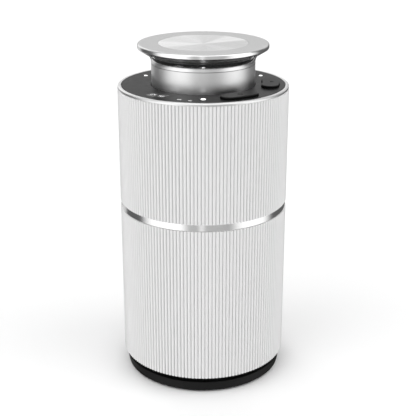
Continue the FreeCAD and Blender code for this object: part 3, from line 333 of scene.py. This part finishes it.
def button_plastic():
    """Dark matt cap with painted shade on its sides below the rounded edge, which are near black
    and rougher.
    """
    g = Graph("button_plastic")
    g.set(Specular_IOR_Level=0.07)
    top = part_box("power_button")[1].z
    # Mask of the cap's top: below it the sides get painted shade (near black) and more roughness.
    cap = g.spread(g.height(), 0.0, 1.0, top - 0.75 * MM, top - 0.35 * MM)
    cloud = g.spread(g.noise(g.position(), 60, 4), -0.15, 0.15)
    tone = g.math("ADD", cap, g.math("MULTIPLY", cap, cloud))
    g.to(g.tint(tone, grey(0.002), grey(0.019)), "Base Color")
    g.to(g.spread(cap, 0.7, 0.36), "Roughness")
    g.bump(g.noise(g.position(), 3000, 2), 0.000006, 0.4)
    return g.material


def board():
    """Solder mask over faint copper tracks."""
    g = Graph("board")
    tracks = g.add("ShaderNodeTexBrick")
    tracks.inputs["Scale"].default_value = 420
    tracks.inputs["Mortar Size"].default_value = 0.03
    g.link(g.position(), tracks.inputs["Vector"])
    g.to(g.tint(tracks.outputs["Fac"], (0.015, 0.11, 0.05), (0.05, 0.22, 0.10)), "Base Color")
    g.set(Roughness=0.35)
    return g.material


def woven(name, dark, light, scale):
    """Fabric, paper or mesh: two sets of crossing threads in tone and bump."""
    g = Graph(name)
    wave = g.add("ShaderNodeTexWave", wave_type="BANDS", bands_direction="Z")
    cross = g.add("ShaderNodeTexWave", wave_type="BANDS", bands_direction="DIAGONAL")
    for node in (wave, cross):
        node.inputs["Scale"].default_value = scale
        g.link(g.position(), node.inputs["Vector"])
    threads = g.math("MULTIPLY", wave.outputs["Fac"], cross.outputs["Fac"])
    g.to(g.tint(threads, dark, light), "Base Color")
    g.set(Roughness=0.85, Sheen_Weight=0.2)
    g.bump(threads, 0.0001, 0.6)
    return g.material


MATERIALS = {
    "casing": casing_lacquer(),
    "bright_trim": polished_metal("bright_trim", 0.80, 0.13),
    "satin_trim": polished_metal("satin_trim", 0.74, 0.36),
    "neck_aluminium": turned_metal("neck_aluminium", 0.74, 0.34, 0.55, 9000, 0.00001),
    "dial_aluminium": dial_metal(),
    "dish_aluminium": dish_metal(),
    "panel_plastic": panel_plastic(),
    "button_plastic": button_plastic(),
    "base_plastic": moulded_plastic("base_plastic", grey(0.003), grey(0.006), 0.6, specular=0.15),
    "foot_rubber": moulded_plastic("foot_rubber", grey(0.012), grey(0.02), 0.75, 1200, 0.00005),
    "lamp_diffuser": glow("lamp_diffuser", 2.0),
    "display_glass": tinted_window(),
    "inner_plastic": moulded_plastic("inner_plastic", grey(0.02), grey(0.03), 0.5),
    "pale_plastic": moulded_plastic("pale_plastic", grey(0.55), grey(0.65), 0.4),
    "steel": polished_metal("steel", 0.55, 0.25),
    "brass_bush": turned_metal("brass_bush", 0.5, 0.35, 0.2, 5000, 0.00001),
    "motor_steel": polished_metal("motor_steel", 0.5, 0.3),
    "magnet": moulded_plastic("magnet", grey(0.03), grey(0.05), 0.5),
    "winding": moulded_plastic("winding", (0.35, 0.12, 0.04), (0.55, 0.22, 0.08), 0.35),
    "board_green": board(),
    "component_black": moulded_plastic("component_black", grey(0.015), grey(0.025), 0.35),
    "silicone": moulded_plastic("silicone", grey(0.25), grey(0.32), 0.5),
    "filter_paper": woven("filter_paper", grey(0.75), grey(0.85), 900),
    "carbon": woven("carbon", grey(0.01), grey(0.03), 700),
    "mesh_fabric": woven("mesh_fabric", grey(0.03), grey(0.10), 800),
    "foam": moulded_plastic("foam", grey(0.03), grey(0.05), 0.9, 900, 0.0001),
    "tape": woven("tape", grey(0.4), grey(0.6), 900),
    "lead_sheath": moulded_plastic("lead_sheath", grey(0.015), grey(0.025), 0.55),
}
DIGIT_GLOW = glow("digit_glow", 0.5)
DIM_GLOW = glow("dim_glow", 0.25)
INK = moulded_plastic("ink", grey(0.001), grey(0.003), 0.9, specular=0.0)

# Nodes that look different from the rest of their slot.
OWN_LOOK = {"indicator_lenses": "display_glass", "rim_ring": "satin_trim"}


def dress_nodes():
    for name, item in NODES.items():
        material = MATERIALS[OWN_LOOK.get(name, SLOT_OF[name])]
        for slot in item.material_slots:
            slot.material = material
        if not item.material_slots:
            item.data.materials.append(material)


# ---- shapes, with sizes in millimetres -----------------------------------------------------------

def azimuth_of(node):
    """Azimuth of a node's middle, in radians from the front towards +X."""
    low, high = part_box(node)
    middle = (low + high) / 2
    return math.atan2(middle.x, -middle.y)


def polar_frame(radius, azimuth, height):
    """Local axes at a place on the panel: X along the tangent, Y towards the middle, Z up."""
    outward = Vector((math.sin(azimuth), -math.cos(azimuth), 0))
    along = Vector((math.cos(azimuth), math.sin(azimuth), 0))
    place = outward * radius + Vector((0, 0, height))
    matrix = Matrix.Identity(4)
    for column, axis in enumerate((along, -outward, Vector((0, 0, 1)), place)):
        for row in range(3):
            matrix[row][column] = axis[row]
    return matrix


def prism(mesh, corners, low, high, matrix):
    """Solid with a flat outline between two heights."""
    rings = []
    for z in (low, high):
        points = [matrix @ Vector((x * MM, y * MM, z * MM)) for x, y in corners]
        rings.append([mesh.verts.new(point) for point in points])
    count = len(corners)
    mesh.faces.new(list(reversed(rings[0])))
    mesh.faces.new(rings[1])
    for i in range(count):
        j = (i + 1) % count
        mesh.faces.new((rings[0][i], rings[0][j], rings[1][j], rings[1][i]))


def printed(mesh, corners, place):
    """Thin flat print on a surface."""
    prism(mesh, corners, -PRINT_THICK, PRINT_THICK, place)


def lathe(mesh, profile, centre, steps=48):
    """Closed profile of (radius, height) turned about a vertical axis."""
    rings = []
    for radius, height in profile:
        angles = [2 * math.pi * i / steps for i in range(steps if radius else 1)]
        rings.append([mesh.verts.new(centre + Vector((
            radius * MM * math.cos(a), radius * MM * math.sin(a), height * MM))) for a in angles])
    for lower, upper in zip(rings, rings[1:]):
        for i in range(steps):
            j = (i + 1) % steps
            corners = (lower[i % len(lower)], lower[j % len(lower)],
                       upper[j % len(upper)], upper[i % len(upper)])
            unique = list(dict.fromkeys(corners))
            if len(unique) > 2:
                mesh.faces.new(unique)


def arc_band(mesh, inner, outer, start, end, low, high, steps=24):
    """Solid band of a ring about the vertical axis, angles in degrees."""
    section = ((inner, low), (outer, low), (outer, high), (inner, high))
    rows = []
    for i in range(steps + 1):
        angle = math.radians(start + (end - start) * i / steps)
        c, s = math.cos(angle), math.sin(angle)
        rows.append([mesh.verts.new(Vector((r * c * MM, r * s * MM, z * MM))) for r, z in section])
    mesh.faces.new(rows[0])
    mesh.faces.new(list(reversed(rows[-1])))
    for before, after in zip(rows, rows[1:]):
        for i in range(4):
            j = (i + 1) % 4
            mesh.faces.new((before[i], after[i], after[j], before[j]))


def hexagon(length, width):
    """Bar outline with pointed ends, lying along X about the origin."""
    tip, shoulder, side = length / 2, (length - width) / 2, width / 2
    return [(-tip, 0), (-shoulder, -side), (shoulder, -side),
            (tip, 0), (shoulder, side), (-shoulder, side)]


def rounded_bar(length, width, steps=6):
    """Outline of a bar with round ends, lying along X about the origin."""
    reach, radius = length / 2 - width / 2, width / 2
    points = []
    for centre, start in ((reach, -90), (-reach, 90)):
        for i in range(steps + 1):
            angle = math.radians(start + 180 * i / steps)
            points.append((centre + radius * math.cos(angle), radius * math.sin(angle)))
    return points


def open_ring(outer, inner, half_gap, steps=28):
    """Outline of a ring with a gap at the top; the gap's half angle is in degrees."""
    sweep = 360 - 2 * half_gap
    angles = [math.radians(90 + half_gap + sweep * i / steps) for i in range(steps + 1)]
    points = [(outer * math.cos(a), outer * math.sin(a)) for a in angles]
    return points + [(inner * math.cos(a), inner * math.sin(a)) for a in reversed(angles)]


def finish_piece(name, mesh, body, material):
    data = bpy.data.meshes.new(name)
    bmesh.ops.recalc_face_normals(mesh, faces=mesh.faces)
    mesh.to_mesh(data)
    mesh.free()
    data.materials.append(material)
    piece = bpy.data.objects.new(name, data)
    bpy.context.scene.collection.objects.link(piece)
    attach(piece, body)
    return piece


def soften(piece, width):
    """Small round on the piece's sharp edges."""
    bevel = piece.modifiers.new("edge", "BEVEL")
    bevel.width = width * MM
    bevel.segments = 2
    bevel.limit_method = "ANGLE"
    bevel.angle_limit = math.radians(35)


# ---- pieces --------------------------------------------------------------------------------------

PRINT_THICK = 0.03

# A digit's bars: middle across, middle up, upright or not.
SEGMENTS = {
    "top": (0, 1, False), "middle": (0, 0, False), "low": (0, -1, False),
    "high_left": (-1, 0.5, True), "high_right": (1, 0.5, True),
    "low_left": (-1, -0.5, True), "low_right": (1, -0.5, True),
}
DIGIT_BARS = {
    "2": ("top", "middle", "low", "high_right", "low_left"),
    "4": ("middle", "high_left", "high_right", "low_right"),
    "5": ("top", "middle", "low", "high_left", "low_right"),
    "8": tuple(SEGMENTS),
}
READING = "24 58"
DIGIT_HEIGHT = 2.9
DIGIT_WIDTH = 1.45
DIGIT_STROKE = 0.42
DIGIT_PITCH = 2.35
DIGIT_LEAN = 0.12
BAR_GAP = 0.25


def digit_bar(bar):
    """Outline of one bar of a digit, about the digit's middle."""
    across, up, upright = SEGMENTS[bar]
    length = (DIGIT_HEIGHT / 2 if upright else DIGIT_WIDTH) - BAR_GAP
    corners = []
    for x, y in hexagon(length, DIGIT_STROKE):
        if upright:
            x, y = y, x
        corners.append((x + across * DIGIT_WIDTH / 2, y + up * DIGIT_HEIGHT / 2))
    return corners


def make_display_digits():
    """Lit seven-bar digits of a reading, on the display window."""
    low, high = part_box("display_window")
    radius = Vector(((low + high) / 2)[:2]).length
    place = polar_frame(radius, azimuth_of("display_window"), high.z)
    mesh = bmesh.new()
    for number, digit in enumerate(READING):
        shift = (number - (len(READING) - 1) / 2) * DIGIT_PITCH
        for bar in DIGIT_BARS.get(digit, ()):
            printed(mesh, [(x + shift + DIGIT_LEAN * y, y) for x, y in digit_bar(bar)], place)
    finish_piece("display_digits", mesh, "casing", DIGIT_GLOW)


# Azimuth in degrees, radius and length of each bar.
INDICATOR_BARS = [(-18, 55.4, 3.2), (-9.5, 56.9, 2.5)]
INDICATOR_WIDTH = 0.8


def make_indicator_bars():
    """Light bar along the front edge of each indicator lens."""
    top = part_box("indicator_lenses")[1].z
    mesh = bmesh.new()
    for azimuth, radius, length in INDICATOR_BARS:
        place = polar_frame(radius * MM, math.radians(azimuth), top)
        printed(mesh, rounded_bar(length, INDICATOR_WIDTH), place)
    finish_piece("indicator_bars", mesh, "casing", DIM_GLOW)


BUTTON_MID_R = 51.25
ICON_R = 1.9
ICON_STROKE = 0.55
ICON_GAPS = {"power": 35, "mode": 60}
POWER_BAR_LENGTH = 1.9
POWER_BAR_SHIFT = 1.2
MODE_DOT_LENGTH = 1.4
MODE_DOT_WIDTH = 1.1


def make_button_icons():
    """Black printed marks on the button tops: an open ring with a bar, and one with a dot."""
    for name, half_gap in ICON_GAPS.items():
        button = name + "_button"
        place = polar_frame(BUTTON_MID_R * MM, azimuth_of(button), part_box(button)[1].z)
        mesh = bmesh.new()
        printed(mesh, open_ring(ICON_R, ICON_R - ICON_STROKE, half_gap), place)
        if name == "power":
            shift = Matrix.Translation((0, POWER_BAR_SHIFT * MM, 0))
            upright = place @ shift @ Matrix.Rotation(math.pi / 2, 4, "Z")
            printed(mesh, rounded_bar(POWER_BAR_LENGTH, ICON_STROKE), upright)
        else:
            printed(mesh, rounded_bar(MODE_DOT_LENGTH, MODE_DOT_WIDTH), place)
        finish_piece(name + "_icon", mesh, button, INK)


FOOT_COUNT = 4
FOOT_R = 6.0
FOOT_PROFILE = [
    (0, 0.25), (1.6, 0.25), (1.9, 0.0), (2.6, 0.0), (2.9, 0.3), (3.5, 0.3), (3.8, 0.0), (5.5, 0.0),
    (5.85, 0.12), (FOOT_R, 0.45),
]


def make_rubber_feet():
    """Feet with a rounded rim, a dimple and a ring groove underneath."""
    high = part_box("feet")[1]
    top = high.z / MM
    place_r = (high.x / MM - FOOT_R) * math.sqrt(2)
    mesh = bmesh.new()
    for i in range(FOOT_COUNT):
        angle = math.radians(45 + 360 / FOOT_COUNT * i)
        centre = Vector((place_r * MM * math.cos(angle), place_r * MM * math.sin(angle), 0))
        lathe(mesh, FOOT_PROFILE + [(FOOT_R, top), (0, top)], centre)
    material = MATERIALS["foot_rubber"]
    piece = finish_piece("rubber_feet", mesh, "base_cover", material)
    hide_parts("feet")


TURN_STARTS = (20, 200)
TURN_SWEEP = 40
TURN_HEAD = 6
TURN_INNER_R = 33.4
TURN_OUTER_R = 34.4
TURN_TIP_R = 34
TURN_WING_RADII = (36, 31.8)
TURN_PROUD = 0.25
TURN_SUNK = 0.2


def make_cover_marks():
    """Two raised arcs with arrowheads that show which way the cover turns."""
    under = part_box("base_cover")[0].z / MM
    low, high = under - TURN_PROUD, under + TURN_SUNK
    mesh = bmesh.new()
    for start in TURN_STARTS:
        end = start + TURN_SWEEP
        arc_band(mesh, TURN_INNER_R, TURN_OUTER_R, start, end, low, high)
        tip, tail = math.radians(end + TURN_HEAD), math.radians(end)
        corners = [(TURN_TIP_R * math.cos(tip), TURN_TIP_R * math.sin(tip))]
        corners += [(r * math.cos(tail), r * math.sin(tail)) for r in TURN_WING_RADII]
        prism(mesh, corners, low, high, Matrix.Identity(4))
    material = MATERIALS["base_plastic"]
    piece = finish_piece("cover_marks", mesh, "base_cover", material)
    soften(piece, 0.08)


CONTACT_COUNT = 8
CONTACT_PITCH = 0.62
CONTACT_HALF_W = 0.14
CONTACT_HALF_THICK = 0.03
CONTACT_RISE = 0.37
CONTACT_START = 2.2
CONTACT_END = 5.6
FACING_BACK = Matrix(((1, 0, 0, 0), (0, 0, -1, 0), (0, 1, 0, 0), (0, 0, 0, 1)))


def make_socket_contacts():
    """Gilt contact strips on both faces of the connector's tongue."""
    low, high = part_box("power_socket")
    middle = (low.z + high.z) / 2 / MM
    mouth = high.y / MM
    mesh = bmesh.new()
    for i in range(CONTACT_COUNT):
        x = (i - (CONTACT_COUNT - 1) / 2) * CONTACT_PITCH
        left, right = x - CONTACT_HALF_W, x + CONTACT_HALF_W
        for side in (-1, 1):
            level = middle + side * CONTACT_RISE
            under, over = level - CONTACT_HALF_THICK, level + CONTACT_HALF_THICK
            corners = [(left, under), (right, under), (right, over), (left, over)]
            prism(mesh, corners, CONTACT_START - mouth, CONTACT_END - mouth, FACING_BACK)
    material = MATERIALS["brass_bush"]
    piece = finish_piece("socket_contacts", mesh, "casing", material)
    soften(piece, 0.02)


def make_pieces():
    make_display_digits()
    make_indicator_bars()
    make_button_icons()
    make_rubber_feet()
    make_cover_marks()
    make_socket_contacts()


# ---- stage ---------------------------------------------------------------------------------------

FLOOR_R = 8.0
DOME_SHARE = 0.995


def make_floor():
    """Pale matt paper."""
    paper = Graph("floor_paper")
    paper.to(paper.tint(paper.noise(paper.position(), 3, 3), grey(0.90), grey(0.92)), "Base Color")
    paper.set(Roughness=0.8, Specular_IOR_Level=0.1)
    bpy.ops.mesh.primitive_circle_add(vertices=96, radius=FLOOR_R, fill_type="NGON")
    floor = bpy.context.object
    floor.name = "floor"
    floor.data.materials.append(paper.material)
    floor.visible_glossy = False


def make_backdrop():
    """White dome behind everything, seen only directly."""
    paper = Graph("backdrop_paper")
    paper.set(Base_Color=(0, 0, 0, 1), Specular_IOR_Level=0.0, Emission_Strength=1.0)
    cloud = paper.noise(paper.position(), 0.5, 2)
    paper.to(paper.tint(cloud, grey(0.99), grey(1.0)), "Emission Color")
    bpy.ops.mesh.primitive_uv_sphere_add(segments=64, ring_count=32, radius=FLOOR_R * DOME_SHARE)
    dome = bpy.context.object
    dome.name = "backdrop"
    dome.data.materials.append(paper.material)
    dome.visible_glossy = False
    dome.visible_diffuse = False
    dome.visible_shadow = False


SURROUND = 0.13
OVERHEAD = 0.52
OVERHEAD_START = 0.25
OVERHEAD_FULL = 0.8
FADE = 0.1
# Azimuth, half width, soft edge, strength, lowest and highest height.
SOFTBOXES = [
    (-58, 24, 18, 1.25),
    (74, 22, 18, 1.25),
    (0, 40, 20, 0.43),
    (-2, 2.5, 3, 0.45),
    (-150, 11, 8, 0.60),
    (180, 34, 22, 0.80, 0.12, 0.66),
]


class Studio(Graph):
    """The world's node tree: pale surroundings, softboxes all round and an overhead glow."""

    def __init__(self):
        self.world = bpy.data.worlds.new("studio")
        self.world.use_nodes = True
        self.tree = self.world.node_tree
        self.back = self.tree.nodes["Background"]
        self.back.inputs["Color"].default_value = (1, 1, 1, 1)
        self.direction = self.add("ShaderNodeTexCoord").outputs["Generated"]

    def rise(self, source, start, full, strength):
        """Smooth rise from nothing to a strength."""
        node = self.add("ShaderNodeMapRange", interpolation_type="SMOOTHSTEP")
        node.inputs["From Min"].default_value = start
        node.inputs["From Max"].default_value = full
        node.inputs["To Max"].default_value = strength
        self.link(source, node.inputs["Value"])
        return node.outputs["Result"]

    def above(self, start, full, strength):
        """Glow above a given height of the unit direction."""
        return self.rise(self.split(self.direction)["Z"], start, full, strength)

    def softbox(self, heading, azimuth, half_width, edge, strength, lowest=None, highest=None):
        """Bright upright panel; azimuth from the front towards +X, angles in degrees.
        With a lowest and a highest height of the unit direction it fades out beyond them."""
        angle = math.radians(azimuth)
        dot = self.add("ShaderNodeVectorMath", operation="DOT_PRODUCT")
        dot.inputs[1].default_value = (math.sin(angle), -math.cos(angle), 0)
        self.link(heading, dot.inputs[0])
        far = math.cos(math.radians(half_width + edge))
        near = math.cos(math.radians(max(half_width - edge, 0)))
        panel = self.rise(dot.outputs["Value"], far, near, strength)
        if lowest is None:
            return panel
        floor = self.above(lowest - FADE, lowest + FADE, 1.0)
        ceiling = self.math("SUBTRACT", 1.0, self.above(highest - FADE, highest + FADE, 1.0))
        return self.math("MULTIPLY", panel, self.math("MULTIPLY", floor, ceiling))


def make_world():
    studio = Studio()
    heading = studio.heading(studio.direction)
    glow_above = studio.above(OVERHEAD_START, OVERHEAD_FULL, OVERHEAD)
    total = studio.math("ADD", SURROUND, glow_above)
    for settings in SOFTBOXES:
        total = studio.math("ADD", total, studio.softbox(heading, *settings))
    studio.link(total, studio.back.inputs["Strength"])
    bpy.context.scene.world = studio.world


SKY_STRENGTH = 0.20
SKY_SPREAD = math.radians(60)
SKY_TILT = math.radians(8)


def make_sun():
    """Very soft light from above that keeps the floor white."""
    data = bpy.data.lights.new("sky", "SUN")
    data.energy = SKY_STRENGTH
    data.angle = SKY_SPREAD
    light = bpy.data.objects.new("sky", data)
    light.rotation_euler = (SKY_TILT, 0, 0)
    bpy.context.scene.collection.objects.link(light)


def make_camera():
    """Level view from the front: 20 degrees down from 0.76 m away, slightly off centre."""
    data = bpy.data.cameras.new("camera")
    data.sensor_width = 36
    data.lens = 83.04
    data.shift_x = 0.0115
    camera = bpy.data.objects.new("camera", data)
    camera.location = (0, -0.7159, 0.3942)
    camera.rotation_euler = (math.radians(69.782), 0, 0)
    bpy.context.scene.collection.objects.link(camera)
    bpy.context.scene.camera = camera


dress_nodes()
make_pieces()
make_floor()
make_backdrop()
make_world()
make_sun()
make_camera()
bpy.context.scene.view_settings.view_transform = "Standard"
